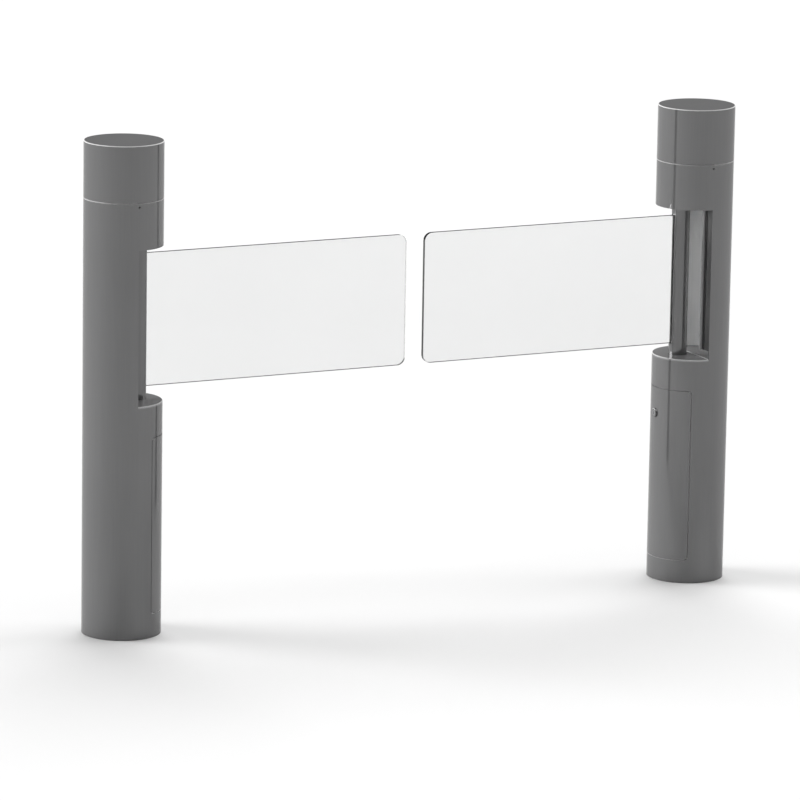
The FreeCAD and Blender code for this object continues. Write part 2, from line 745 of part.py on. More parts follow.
def make_bearing_ring(side, name, inner, outer):
    """One race of the lower bearing, with the groove for the balls."""
    label = f"{side}_{name}"
    blank = round_bar(outer, "bearing_width", side, BEARING_BOTTOM)
    bore = round_bar(inner, "bearing_width", side, BEARING_BOTTOM)
    groove = doc.addObject("Part::Torus", "BallGroove")
    groove.setExpression("Radius1", bound(BALL_CIRCLE))
    groove.setExpression("Radius2", bound("ball_diameter / 2 + ball_gap"))
    place(groove, side, "column_offset", "0", f"{BEARING_BOTTOM} + bearing_width / 2")
    return cut_from(cut_from(blank, bore, f"{label}_blank"), groove, label)


def make_bearing_outer_ring(side):
    return make_bearing_ring(side, "bearing_outer_ring", "bearing_diameter / 2 - race_wall", "bearing_diameter / 2")


def make_bearing_inner_ring(side):
    return make_bearing_ring(side, "bearing_inner_ring", "bearing_bore / 2", "bearing_bore / 2 + race_wall")


def make_upper_bush(side):
    """Flanged bush in the ceiling for the column's journal."""
    body = post_body(side, "upper_bush", "column_offset")
    bore = "journal_diameter / 2 + running_fit"
    turned(body, [
        (bore, f"{WINDOW_TOP} - bush_flange"),
        ("bush_flange_diameter / 2", f"{WINDOW_TOP} - bush_flange"),
        ("bush_flange_diameter / 2", WINDOW_TOP),
        (f"{bore} + bush_wall", WINDOW_TOP),
        (f"{bore} + bush_wall", f"{WINDOW_TOP} + ceiling_thickness"),
        (bore, f"{WINDOW_TOP} + ceiling_thickness"),
    ])
    return body


def involute(angle):
    return math.tan(angle) - angle


def gear_face(teeth, first_tooth):
    """Flat face of an external gear whose first tooth points along the given angle."""
    module = value(GEAR_MODULE)
    pressure = math.radians(value("pressure_angle"))
    pitch_radius = module * teeth / 2
    base_radius = pitch_radius * math.cos(pressure)
    tip_radius = pitch_radius + module
    root_radius = pitch_radius - 1.25 * module
    flank_start = max(base_radius, root_radius)
    half_tooth = math.pi / (2 * teeth) - value("gear_backlash") / (4 * pitch_radius)

    def half_angle(radius):
        return half_tooth + involute(pressure) - involute(math.acos(min(1, base_radius / radius)))

    def at(radius, angle):
        return Vector(radius * math.cos(angle), radius * math.sin(angle), 0)

    edges = []
    step = 2 * math.pi / teeth
    for tooth in range(teeth):
        middle = math.radians(first_tooth) + tooth * step
        flank = [flank_start, (flank_start + tip_radius) / 2, tip_radius]
        rising = [at(radius, middle - half_angle(radius)) for radius in flank]
        falling = [at(radius, middle + half_angle(radius)) for radius in reversed(flank)]
        root_in = at(root_radius, middle - half_angle(flank_start))
        root_out = at(root_radius, middle + half_angle(flank_start))
        next_root = at(root_radius, middle + step - half_angle(flank_start))
        if flank_start > root_radius:
            edges.append(Part.LineSegment(root_in, rising[0]).toShape())
        edges.append(Part.Arc(*rising).toShape())
        edges.append(Part.Arc(rising[2], at(tip_radius, middle), falling[0]).toShape())
        edges.append(Part.Arc(*falling).toShape())
        if flank_start > root_radius:
            edges.append(Part.LineSegment(falling[2], root_out).toShape())
        edges.append(Part.Arc(root_out, at(root_radius, middle + step / 2), next_root).toShape())
    return Part.Face(Part.Wire(edges))


def make_driven_gear(side):
    """Large gear on the column's shaft, with a tooth pointing at the pinion."""
    gear = doc.addObject("Part::Feature", f"{side}_driven_gear")
    gear.Label = f"{side}_driven_gear"
    blank = gear_face(int(value("gear_teeth")), 180).extrude(Vector(0, 0, value("gear_width")))
    bore = Part.makeCylinder(value("shaft_diameter / 2 + thread_gap"), value("gear_width"))
    gear.Shape = blank.cut(bore)
    place(gear, side, "column_offset", "0", GEAR_BOTTOM)
    return gear


def make_drive_pinion(side):
    """Pinion in one piece with the gearbox's output shaft, a tooth space facing the gear."""
    pinion = doc.addObject("Part::Feature", f"{side}_drive_pinion")
    pinion.Label = f"{side}_drive_pinion"
    teeth = int(value("pinion_teeth"))
    toothed = gear_face(teeth, 180 / teeth).extrude(Vector(0, 0, value("gear_width + 2 * pinion_overlap")))
    shaft_length = value(f"{GEAR_BOTTOM} - pinion_overlap - {PLATE_BOTTOM} + pinion_shaft_depth")
    shaft = Part.makeCylinder(value("pinion_shaft_diameter / 2"), shaft_length, Vector(0, 0, -shaft_length))
    pinion.Shape = toothed.fuse(shaft).removeSplitter()
    place(pinion, side, PINION_X, "0", f"{GEAR_BOTTOM} - pinion_overlap")
    return pinion


def make_motor_plate(side):
    """Disc hung under the deck on pillars, which carries the gearbox and the stop buffers."""
    body = post_body(side, "motor_plate")
    sketch = sketch_on(body, offset=PLATE_BOTTOM)
    circle(sketch, f"{KEEPER_FACE} - stack_gap / 2")
    circle(sketch, "gearbox_pilot / 2 + thread_gap", PINION_X)
    for x, y in ring_of("motor_screw_count", "motor_screw_circle"):
        circle(sketch, "motor_screw_diameter / 2 + thread_gap", f"{PINION_X} + {x}", y)
    extrude(body, "Pad", sketch, "plate_thickness")
    return body


def make_gearbox(side):
    """Reduction gearbox with a pilot boss in the motor plate."""
    body = post_body(side, "gearbox", PINION_X)
    bore = "pinion_shaft_diameter / 2 + running_fit"
    bore_end = f"{PLATE_BOTTOM} - pinion_shaft_depth - running_fit"
    turned(body, [
        ("0", GEARBOX_BOTTOM),
        ("gearbox_diameter / 2", GEARBOX_BOTTOM),
        ("gearbox_diameter / 2", PLATE_BOTTOM),
        ("gearbox_pilot / 2", PLATE_BOTTOM),
        ("gearbox_pilot / 2", f"{PLATE_BOTTOM} + plate_thickness / 2"),
        (bore, f"{PLATE_BOTTOM} + plate_thickness / 2"),
        (bore, bore_end),
        ("0", bore_end),
    ])
    sketch = sketch_on(body, offset=PLATE_BOTTOM)
    for x, y in ring_of("motor_screw_count", "motor_screw_circle"):
        circle(sketch, "motor_screw_diameter / 2 + thread_gap", x, y)
    extrude(body, "Pocket", sketch, "screw_bite + thread_gap")
    return body


def make_drive_motor(side):
    """Motor can under the gearbox, with a stepped end cap."""
    body = post_body(side, "drive_motor", PINION_X)
    bottom = f"{GEARBOX_BOTTOM} - motor_length"
    turned(body, [
        ("0", bottom),
        ("motor_diameter / 2 - motor_end_step", bottom),
        ("motor_diameter / 2 - motor_end_step", f"{bottom} + motor_end_cap"),
        ("motor_diameter / 2", f"{bottom} + motor_end_cap"),
        ("motor_diameter / 2", GEARBOX_BOTTOM),
        ("0", GEARBOX_BOTTOM),
    ])
    return body


def make_stop_arm(side):
    """Arm clamped on the end of the shaft, pointing away from the lane at rest."""
    body = post_body(side, "stop_arm", "column_offset")
    sketch = sketch_on(body, offset=ARM_BOTTOM)
    circle(sketch, "arm_hub_diameter / 2")
    extrude(body, "Pad", sketch, "arm_thickness")
    sketch = sketch_on(body, offset=ARM_BOTTOM)
    rectangle(sketch, "-arm_reach", "0", "-arm_width / 2", "arm_width / 2")
    extrude(body, "Pad", sketch, "arm_thickness")
    sketch = sketch_on(body, offset=ARM_TOP)
    circle(sketch, "shaft_diameter / 2 + thread_gap")
    extrude(body, "Pocket", sketch, "arm_thickness")
    return body


def make_control_board(side):
    """Printed board over the ceiling, with its terminals, heat sink and capacitor."""
    body = post_body(side, "control_board", z=BOARD_BOTTOM)
    half_length, half_width = "board_length / 2", "board_width / 2"
    sketch = sketch_on(body)
    rectangle(sketch, f"-{half_length}", half_length, f"-{half_width}", half_width)
    extrude(body, "Pad", sketch, "board_thickness")
    terminal_edge = f"{half_width} - board_inset / 2"
    sketch = sketch_on(body, offset="board_thickness")
    rectangle(sketch, "-terminal_length / 2", "terminal_length / 2", f"{terminal_edge} - terminal_width", terminal_edge)
    extrude(body, "Pad", sketch, "terminal_height")
    sketch = sketch_on(body, offset="board_thickness")
    rectangle(sketch, "-heat_sink_length", "0", "-heat_sink_width", "0")
    extrude(body, "Pad", sketch, "heat_sink_height")
    sketch = sketch_on(body, offset="board_thickness")
    circle(sketch, "capacitor_diameter / 2", "board_length / 4", "-board_width / 4")
    extrude(body, "Pad", sketch, "capacitor_height")
    return body


def make_cap_screws():
    """Recessed set screws that hold the caps, two on each post."""
    body = new_body("cap_screws", group=True)
    outer_end = f"({POST_RADIUS} - cap_screw_recess)"
    for sign, backwards in (("", True), ("-", False)):
        sketch = sketch_on(body, "XZ_Plane", f"{sign}{outer_end}")
        for x, _ in on_both_posts("0", "0"):
            circle(sketch, "cap_screw_diameter / 2", x, CAP_SCREW_LEVEL)
        extrude(body, "Pad", sketch, "cap_screw_length", backwards)
    return body


def make_headed_screws(label, x, count, circle_diameter, diameter, head_base, head_up, grip):
    """A ring of cylinder-head screws on each post, heads up or down."""
    body = new_body(label, group=True)
    for part, size in (("head", f"{diameter} * screw_head_ratio / 2"), ("shank", f"{diameter} / 2")):
        sketch = sketch_on(body, offset=head_base)
        for point_x, point_y in ring_of(count, circle_diameter):
            for post_x, post_y in on_both_posts(f"{x} + {point_x}", point_y):
                circle(sketch, size, post_x, post_y)
        length = diameter if part == "head" else grip
        extrude(body, "Pad", sketch, length, backwards=head_up == (part == "shank"))
    return body


def make_drive_pillars():
    """Round pillars between the motor plates and the decks."""
    body = new_body("drive_pillars", group=True)
    sketch = sketch_on(body, offset=PLATE_TOP)
    for x in ("pillar_x", "-pillar_x"):
        for y in (PILLAR_Y, f"-{PILLAR_Y}"):
            for post_x, post_y in on_both_posts(x, y):
                circle(sketch, "pillar_diameter / 2", post_x, post_y)
    extrude(body, "Pad", sketch, f"{DECK_BOTTOM} - {PLATE_TOP}")
    return body


def make_stop_buffers():
    """Rubber posts on the motor plates that stop the arms at a quarter turn each way."""
    body = new_body("stop_buffers", group=True)
    sketch = sketch_on(body, offset=PLATE_TOP)
    x = "column_offset + arm_width / 2 + buffer_gap + buffer_diameter / 2"
    for y in ("arm_reach - buffer_inset", "-(arm_reach - buffer_inset)"):
        for post_x, post_y in on_both_posts(x, y):
            circle(sketch, "buffer_diameter / 2", post_x, post_y)
    extrude(body, "Pad", sketch, f"{ARM_TOP} - {PLATE_TOP}")
    return body


def make_board_standoffs():
    """Standoffs under the corners of the control boards."""
    body = new_body("board_standoffs", group=True)
    sketch = sketch_on(body, offset=f"{WINDOW_TOP} + ceiling_thickness")
    for x in ("board_length / 2 - board_inset", "-(board_length / 2 - board_inset)"):
        for y in ("board_width / 2 - board_inset", "-(board_width / 2 - board_inset)"):
            for post_x, post_y in on_both_posts(x, y):
                circle(sketch, "standoff_diameter / 2", post_x, post_y)
    extrude(body, "Pad", sketch, "standoff_height")
    return body


def make_bearing_balls():
    """Balls of both lower bearings."""
    balls = []
    for point_x, point_y in ring_of("ball_count", f"2 * {BALL_CIRCLE}"):
        for side in SIDES:
            ball = doc.addObject("Part::Sphere", "Ball")
            ball.setExpression("Radius", bound("ball_diameter / 2"))
            place(ball, side, f"column_offset + {point_x}", point_y, f"{BEARING_BOTTOM} + bearing_width / 2")
            balls.append(ball)
    group = doc.addObject("Part::Compound", "bearing_balls")
    group.Label = "bearing_balls"
    group.Links = balls
    return group


nodes = []
for side in SIDES:
    nodes += [
        make_post_tube(side),
        make_base_flange(side),
        make_head_cap(side),
        make_window_floor(side),
        make_drive_deck(side),
        make_window_ceiling(side),
        make_door_frame(side),
        make_access_door(side),
        make_lock_barrel(side),
        make_lock_plug(side),
        make_lock_cam(side),
        make_wing_column(side),
        make_wing_panel(side),
        make_wing_gaskets(side),
        make_clamp_screws(side),
        make_bearing_housing(side),
        make_bearing_outer_ring(side),
        make_bearing_inner_ring(side),
        make_upper_bush(side),
        make_driven_gear(side),
        make_drive_pinion(side),
        make_motor_plate(side),
        make_gearbox(side),
        make_drive_motor(side),
        make_stop_arm(side),
        make_control_board(side),
    ]
nodes += [
    make_cap_screws(),
    make_headed_screws(
        "housing_screws", "column_offset", "housing_screw_count", HOUSING_SCREW_CIRCLE,
        "housing_screw_diameter", f"{DECK_BOTTOM} - housing_flange", False, "housing_flange + screw_bite"),
    make_headed_screws(
        "motor_screws", PINION_X, "motor_screw_count", "motor_screw_circle",
        "motor_screw_diameter", PLATE_TOP, True, "plate_thickness + screw_bite"),
    make_drive_pillars(),
    make_stop_buffers(),
    make_board_standoffs(),
    make_bearing_balls(),
]
doc.recompute()

for item in doc.Objects:
    if "Invalid" in item.State or "Error" in item.State:
        raise RuntimeError(f"{item.Label} did not build: {item.State}")
for node in nodes:
    if node.Shape.isNull() or not node.Shape.isValid():
        raise RuntimeError(f"{node.Label} has no valid shape")

os.makedirs("parts", exist_ok=True)
for node in nodes:
    node.Shape.exportStep(f"parts/{node.Label}.step")
    print(f"{node.Label}: {len(node.Shape.Solids)} solid(s), {node.Shape.Volume / 1000:.2f} cm3")
print(f"{len(nodes)} nodes")
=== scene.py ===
import math

import bpy
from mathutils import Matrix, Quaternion, Vector


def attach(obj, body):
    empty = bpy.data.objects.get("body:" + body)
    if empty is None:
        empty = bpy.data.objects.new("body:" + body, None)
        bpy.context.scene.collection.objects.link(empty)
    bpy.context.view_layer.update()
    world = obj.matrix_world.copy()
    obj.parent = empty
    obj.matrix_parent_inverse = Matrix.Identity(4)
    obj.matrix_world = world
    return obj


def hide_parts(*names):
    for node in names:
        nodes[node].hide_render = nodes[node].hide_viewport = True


# Swing turnstile: two polished steel gate posts with clear swinging wings.
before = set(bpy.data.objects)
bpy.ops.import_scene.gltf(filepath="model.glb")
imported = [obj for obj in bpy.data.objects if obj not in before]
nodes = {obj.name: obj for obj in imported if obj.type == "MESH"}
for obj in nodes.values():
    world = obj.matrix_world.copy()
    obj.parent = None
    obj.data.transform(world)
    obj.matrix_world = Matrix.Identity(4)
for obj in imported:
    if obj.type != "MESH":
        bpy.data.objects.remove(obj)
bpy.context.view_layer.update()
sides = ("left", "right")
print("frame loaded,", len(nodes), "nodes")


# finishes

def startMaterial(name):
    material = bpy.data.materials.new(name)
    material.use_nodes = True
    tree = material.node_tree
    return material, tree, tree.nodes["Principled BSDF"]


def objectNoise(tree, stretch, scale, detail=4.0, rough=0.55):
    # noise on the piece's own coordinates, drawn out along the grain by the stretch
    coords = tree.nodes.new("ShaderNodeTexCoord")
    mapping = tree.nodes.new("ShaderNodeMapping")
    mapping.inputs["Scale"].default_value = stretch
    noise = tree.nodes.new("ShaderNodeTexNoise")
    noise.inputs["Scale"].default_value = scale
    noise.inputs["Detail"].default_value = detail
    noise.inputs["Roughness"].default_value = rough
    tree.links.new(coords.outputs["Object"], mapping.inputs["Vector"])
    tree.links.new(mapping.outputs["Vector"], noise.inputs["Vector"])
    return noise.outputs["Fac"]


def spread(tree, source, low, high, fromLow=0.3, fromHigh=0.7):
    # a 0 to 1 pattern becomes a range of numbers
    reach = tree.nodes.new("ShaderNodeMapRange")
    reach.inputs["From Min"].default_value = fromLow
    reach.inputs["From Max"].default_value = fromHigh
    reach.inputs["To Min"].default_value = low
    reach.inputs["To Max"].default_value = high
    tree.links.new(source, reach.inputs["Value"])
    return reach.outputs["Result"]


def twoTone(tree, source, dark, light, fromLow=0.3, fromHigh=0.7):
    ramp = tree.nodes.new("ShaderNodeValToRGB")
    ramp.color_ramp.elements[0].position = fromLow
    ramp.color_ramp.elements[1].position = fromHigh
    ramp.color_ramp.elements[0].color = (*dark, 1)
    ramp.color_ramp.elements[1].color = (*light, 1)
    tree.links.new(source, ramp.inputs["Fac"])
    return ramp.outputs["Color"]


def mixed(tree, kind, factor, first, second):
    # factor and both ends are sockets, plain numbers or colours
    mix = tree.nodes.new("ShaderNodeMix")
    mix.data_type = kind
    names = {"FLOAT": ("Factor_Float", "A_Float", "B_Float", "Result_Float"),
             "RGBA": ("Factor_Float", "A_Color", "B_Color", "Result_Color")}[kind]
    ends = [next(s for s in mix.inputs if s.identifier == name) for name in names[:3]]
    for end, source in zip(ends, (factor, first, second)):
        if isinstance(source, (int, float)):
            end.default_value = source
        elif isinstance(source, tuple):
            end.default_value = (*source, 1)
        else:
            tree.links.new(source, end)
    return next(s for s in mix.outputs if s.identifier == names[3])


def bumpFrom(tree, source, strength, distance):
    bump = tree.nodes.new("ShaderNodeBump")
    bump.inputs["Strength"].default_value = strength
    bump.inputs["Distance"].default_value = distance
    tree.links.new(source, bump.inputs["Height"])
    return bump.outputs["Normal"]


def grainAndClouds(tree, look):
    grain = objectNoise(tree, look["grainStretch"], look["grainScale"])
    clouds = objectNoise(tree, (1, 1, 1), look["cloudScale"], detail=2.0)
    return grain, mixed(tree, "FLOAT", look["cloudShare"], grain, clouds)


def upwardness(tree):
    coords = tree.nodes.new("ShaderNodeTexCoord")
    parts = tree.nodes.new("ShaderNodeSeparateXYZ")
    tree.links.new(coords.outputs["Normal"], parts.inputs["Vector"])
    return parts.outputs["Z"]


def calc(tree, operation, first, second=None):
    # one step of arithmetic, whose second input is a socket or a plain number
    step = tree.nodes.new("ShaderNodeMath")
    step.operation = operation
    tree.links.new(first, step.inputs[0])
    if isinstance(second, float):
        step.inputs[1].default_value = second
    elif second is not None:
        tree.links.new(second, step.inputs[1])
    return step.outputs["Value"]


# how far a face looks upwards where upright faces end, and where level ones begin
slopes = {"leavesUpright": (0.40, 0.60), "nearsLevel": (0.80, 0.95), "level": (0.96, 0.99)}


def bevelHighlightShare(tree):
    # 1 on edges bevelled upwards, 0 on upright and level faces: where the painted highlight goes
    up = upwardness(tree)
    tilted = spread(tree, up, 0.0, 1.0, *slopes["leavesUpright"])
    notLevel = spread(tree, up, 1.0, 0.0, *slopes["nearsLevel"])
    return calc(tree, "MULTIPLY", tilted, notLevel)


def steadyGloss(shader, look):
    # how far the reflection grows towards the edges of a round piece
    shader.inputs["Specular IOR Level"].default_value = look.get("coatGloss", 0.5)
    shader.inputs["Specular Tint"].default_value = (*[look.get("edgeGloss", 1.0)] * 3, 1)


def surfaceFinish(name, look):
    # grain lines and soft clouds in colour and gloss, with a fine bump
    material, tree, shader = startMaterial(name)
    grain, pattern = grainAndClouds(tree, look)
    colour = twoTone(tree, pattern, look["dark"], look["light"])
    metal = look["metal"]
    shader.inputs["Metallic"].default_value = metal
    if "topDark" in look:  # a blasted level top among polished sides
        level = spread(tree, upwardness(tree), 0.0, 1.0, *slopes["level"])
        blasted = twoTone(tree, pattern, look["topDark"], look["topLight"])
        colour = mixed(tree, "RGBA", level, colour, blasted)
        metal = mixed(tree, "FLOAT", level, metal, 0.0)
    if "bevel" in look:  # upward-bevelled edges get a pale matt colour: a painted highlight
        edge = bevelHighlightShare(tree)
        colour = mixed(tree, "RGBA", edge, colour, look["bevel"])
        tree.links.new(mixed(tree, "FLOAT", edge, metal, 0.0), shader.inputs["Metallic"])
    tree.links.new(colour, shader.inputs["Base Color"])
    tree.links.new(spread(tree, pattern, *look["gloss"]), shader.inputs["Roughness"])
    tree.links.new(bumpFrom(tree, grain, look["bump"], look["bumpDepth"]), shader.inputs["Normal"])
    steadyGloss(shader, look)
    return material


def dress(material, *names):
    for name in names:
        for place in nodes[name].material_slots:
            place.material = material


def bothSides(*names):
    return [f"{side}_{name}" for side in sides for name in names]


# the bevel colours in these looks are painted highlights on upward-bevelled edges
postSteelLook = {
    "dark": (0.160, 0.160, 0.161), "light": (0.176, 0.176, 0.177), "gloss": (0.06, 0.10), "metal": 0.55,
    "coatGloss": 0.0, "edgeGloss": 0.85, "bevel": (0.60, 0.60, 0.60),
    "grainStretch": (60, 60, 1.2), "grainScale": 6.0, "cloudScale": 5.0, "cloudShare": 0.45,
    "bump": 0.015, "bumpDepth": 0.0002,
}
# the inside's near-white colour is painted light, far paler than the lit inner wall would be
tubeInsidePaintedLightLook = {
    "dark": (0.87, 0.87, 0.87), "light": (0.92, 0.92, 0.92), "gloss": (0.5, 0.6), "metal": 0.0,
    "axisAt": 0.675, "boreRadius": 0.0828, "lipDepth": 0.0027,
}


def outsideShare(tree, inside):
    # 1 on the tube's outside and lips, 0 inside, told apart by the distance from the tube's own axis
    coords = tree.nodes.new("ShaderNodeTexCoord")
    parts = tree.nodes.new("ShaderNodeSeparateXYZ")
    tree.links.new(coords.outputs["Object"], parts.inputs["Vector"])
    fromAxis = calc(tree, "SUBTRACT", calc(tree, "ABSOLUTE", parts.outputs["X"]), inside["axisAt"])
    flat = tree.nodes.new("ShaderNodeCombineXYZ")
    tree.links.new(fromAxis, flat.inputs["X"])
    tree.links.new(parts.outputs["Y"], flat.inputs["Y"])
    radius = tree.nodes.new("ShaderNodeVectorMath")
    radius.operation = "LENGTH"
    tree.links.new(flat.outputs["Vector"], radius.inputs[0])
    outer = calc(tree, "GREATER_THAN", radius.outputs["Value"], inside["boreRadius"])
    onLip = calc(tree, "LESS_THAN", fromAxis, inside["lipDepth"])  # lips lie on the lane's side of this depth
    return calc(tree, "MAXIMUM", outer, onLip)


def tubeFinish(name, look, inside):
    # polished outside; a matt inside painted near-white, painted light standing in for the light that fills the
    # tube
    material, tree, shader = startMaterial(name)
    grain, pattern = grainAndClouds(tree, look)
    share = outsideShare(tree, inside)
    edge = bevelHighlightShare(tree)
    polished = twoTone(tree, pattern, look["dark"], look["light"])
    # the pale bevel colour here is a painted highlight
    polishedWithPaintedHighlight = mixed(tree, "RGBA", edge, polished, look["bevel"])
    paintedLitInside = twoTone(tree, pattern, inside["dark"], inside["light"])
    tree.links.new(mixed(tree, "RGBA", share, paintedLitInside, polishedWithPaintedHighlight), shader.inputs["Base Color"])
    polish = spread(tree, pattern, *look["gloss"])
    satin = spread(tree, pattern, *inside["gloss"])
    tree.links.new(mixed(tree, "FLOAT", share, satin, polish), shader.inputs["Roughness"])
    metal = mixed(tree, "FLOAT", edge, look["metal"], 0.0)
    tree.links.new(mixed(tree, "FLOAT", share, inside["metal"], metal), shader.inputs["Metallic"])
    tree.links.new(bumpFrom(tree, grain, look["bump"], look["bumpDepth"]), shader.inputs["Normal"])
    steadyGloss(shader, look)
    return material


postSteel = surfaceFinish("darkPolishedSteel", postSteelLook)
tubeSteelLook = {**postSteelLook, "bevel": (0.44, 0.44, 0.44)}
tubeSteel = tubeFinish("polishedTubePaintedLitInside", tubeSteelLook, tubeInsidePaintedLightLook)
dress(tubeSteel, *bothSides("post_tube"))
dress(postSteel, *bothSides("access_door", "lock_barrel", "wing_column", "window_ceiling"))
capSteelLook = {
    **postSteelLook, "topDark": (0.112, 0.112, 0.113), "topLight": (0.124, 0.124, 0.125),
}
dress(surfaceFinish("polishedCapSatinTop", capSteelLook), *bothSides("head_cap"))
# sill and deck are the post's steel painted lighter: painted light lifting the shade under the window's head
# and beside the column
sillSteelLook = {
    **postSteelLook, "dark": (0.285, 0.285, 0.287), "light": (0.312, 0.312, 0.314),
    "bevel": (0.49, 0.49, 0.49),
}
dress(surfaceFinish("sillSteelPaintedLight", sillSteelLook), *bothSides("window_floor"))
deckSteelLook = {
    **postSteelLook, "dark": (0.345, 0.345, 0.347), "light": (0.375, 0.375, 0.377),
    "bevel": (0.66, 0.66, 0.66),
}
dress(surfaceFinish("deckSteelPaintedLight", deckSteelLook), *bothSides("drive_deck"))

innerLooks = {
    "satinPlate": {
        "dark": (0.20, 0.20, 0.205), "light": (0.27, 0.27, 0.275), "gloss": (0.32, 0.42), "metal": 1.0,
        "grainStretch": (1, 40, 40), "grainScale": 8.0, "cloudScale": 9.0, "cloudShare": 0.4,
        "bump": 0.05, "bumpDepth": 0.0003,
        "nodes": bothSides("base_flange", "motor_plate", "stop_arm", "lock_cam") + ["drive_pillars"],
    },
    # the door frame's pale colour is partly its zinc finish and partly painted light that lifts the shade in
    # the door's seam
    "zincFramePaleAsPaintedLight": {
        "dark": (0.62, 0.62, 0.63), "light": (0.72, 0.72, 0.73), "gloss": (0.42, 0.55), "metal": 0.1,
        "grainStretch": (1, 1, 1), "grainScale": 60.0, "cloudScale": 16.0, "cloudShare": 0.5,
        "bump": 0.04, "bumpDepth": 0.0002,
        "nodes": bothSides("door_frame"),
    },
    "castAluminium": {
        "dark": (0.48, 0.49, 0.50), "light": (0.60, 0.61, 0.62), "gloss": (0.34, 0.48), "metal": 1.0,
        "grainStretch": (1, 1, 1), "grainScale": 420.0, "cloudScale": 22.0, "cloudShare": 0.35,
        "bump": 0.12, "bumpDepth": 0.0003,
        "nodes": bothSides("bearing_housing", "gearbox"),
    },
    "groundBearingSteel": {
        "dark": (0.56, 0.56, 0.57), "light": (0.66, 0.66, 0.67), "gloss": (0.10, 0.18), "metal": 1.0,
        "grainStretch": (1, 1, 60), "grainScale": 14.0, "cloudScale": 18.0, "cloudShare": 0.3,
        "bump": 0.02, "bumpDepth": 0.0002,
        "nodes": bothSides("bearing_outer_ring", "bearing_inner_ring") + ["bearing_balls"],
    },
    "millGearSteel": {
        "dark": (0.28, 0.28, 0.29), "light": (0.40, 0.40, 0.41), "gloss": (0.26, 0.40), "metal": 1.0,
        "grainStretch": (1, 1, 30), "grainScale": 30.0, "cloudScale": 14.0, "cloudShare": 0.45,
        "bump": 0.06, "bumpDepth": 0.0002,
        "nodes": bothSides("driven_gear", "drive_pinion"),
    },
    "blackBushPolymer": {
        "dark": (0.035, 0.035, 0.037), "light": (0.055, 0.055, 0.058), "gloss": (0.36, 0.48), "metal": 0.0,
        "grainStretch": (1, 1, 1), "grainScale": 260.0, "cloudScale": 30.0, "cloudShare": 0.4,
        "bump": 0.08, "bumpDepth": 0.0002,
        "nodes": bothSides("upper_bush"),
    },
    "blackRubber": {
        "dark": (0.012, 0.012, 0.012), "light": (0.024, 0.024, 0.024), "gloss": (0.55, 0.75), "metal": 0.0,
        "grainStretch": (1, 1, 1), "grainScale": 700.0, "cloudScale": 40.0, "cloudShare": 0.4,
        "bump": 0.15, "bumpDepth": 0.0002,
        "nodes": ["stop_buffers"],
    },
    "greyGasketRubber": {
        "dark": (0.20, 0.20, 0.202), "light": (0.235, 0.235, 0.237), "gloss": (0.5, 0.7), "metal": 0.0,
        "grainStretch": (1, 1, 1), "grainScale": 700.0, "cloudScale": 40.0, "cloudShare": 0.4,
        "bump": 0.15, "bumpDepth": 0.0002,
        "nodes": bothSides("wing_gaskets"),
    },
    "blackMotorEnamel": {
        "dark": (0.016, 0.016, 0.017), "light": (0.028, 0.028, 0.030), "gloss": (0.22, 0.34), "metal": 0.0,
        "grainStretch": (1, 1, 1), "grainScale": 320.0, "cloudScale": 26.0, "cloudShare": 0.5,
        "bump": 0.10, "bumpDepth": 0.0003,
        "nodes": bothSides("drive_motor"),
    },
    "lockSteel": {
        "dark": (0.20, 0.20, 0.205), "light": (0.27, 0.27, 0.275), "gloss": (0.14, 0.22), "metal": 0.8,
        "grainStretch": (1, 30, 30), "grainScale": 40.0, "cloudScale": 60.0, "cloudShare": 0.4,
        "bump": 0.02, "bumpDepth": 0.0001,
        "nodes": bothSides("lock_plug"),
    },
    "blackScrewSteel": {
        "dark": (0.030, 0.030, 0.031), "light": (0.055, 0.055, 0.056), "gloss": (0.30, 0.42), "metal": 1.0,
        "grainStretch": (1, 1, 1), "grainScale": 500.0, "cloudScale": 90.0, "cloudShare": 0.4,
        "bump": 0.05, "bumpDepth": 0.0001,
        "nodes": bothSides("clamp_screws") + ["cap_screws", "housing_screws", "motor_screws"],
    },
    "turnedBrass": {
        "dark": (0.52, 0.37, 0.13), "light": (0.66, 0.49, 0.20), "gloss": (0.20, 0.32), "metal": 1.0,
        "grainStretch": (1, 1, 40), "grainScale": 30.0, "cloudScale": 40.0, "cloudShare": 0.4,
        "bump": 0.04, "bumpDepth": 0.0001,
        "nodes": ["board_standoffs"],
    },
    "greenBoardMask": {
        "dark": (0.012, 0.075, 0.030), "light": (0.022, 0.120, 0.050), "gloss": (0.28, 0.40), "metal": 0.0,
        "grainStretch": (1, 14, 1), "grainScale": 60.0, "cloudScale": 50.0, "cloudShare": 0.3,
        "bump": 0.05, "bumpDepth": 0.0001,
        "nodes": bothSides("control_board"),
    },
    "greyTerminalPolymer": {
        "dark": (0.10, 0.12, 0.11), "light": (0.15, 0.17, 0.16), "gloss": (0.40, 0.52), "metal": 0.0,
        "grainStretch": (1, 1, 1), "grainScale": 300.0, "cloudScale": 40.0, "cloudShare": 0.4,
        "bump": 0.08, "bumpDepth": 0.0001,
        "nodes": [],
    },
    "tinnedBrass": {
        "dark": (0.55, 0.54, 0.50), "light": (0.68, 0.67, 0.63), "gloss": (0.22, 0.34), "metal": 1.0,
        "grainStretch": (1, 1, 1), "grainScale": 600.0, "cloudScale": 120.0, "cloudShare": 0.4,
        "bump": 0.04, "bumpDepth": 0.0001,
        "nodes": [],
    },
    "darkSleeve": {
        "dark": (0.010, 0.014, 0.030), "light": (0.018, 0.024, 0.050), "gloss": (0.22, 0.32), "metal": 0.0,
        "grainStretch": (1, 1, 8), "grainScale": 160.0, "cloudScale": 60.0, "cloudShare": 0.4,
        "bump": 0.05, "bumpDepth": 0.0001,
        "nodes": [],
    },
}
innerFinishes = {}
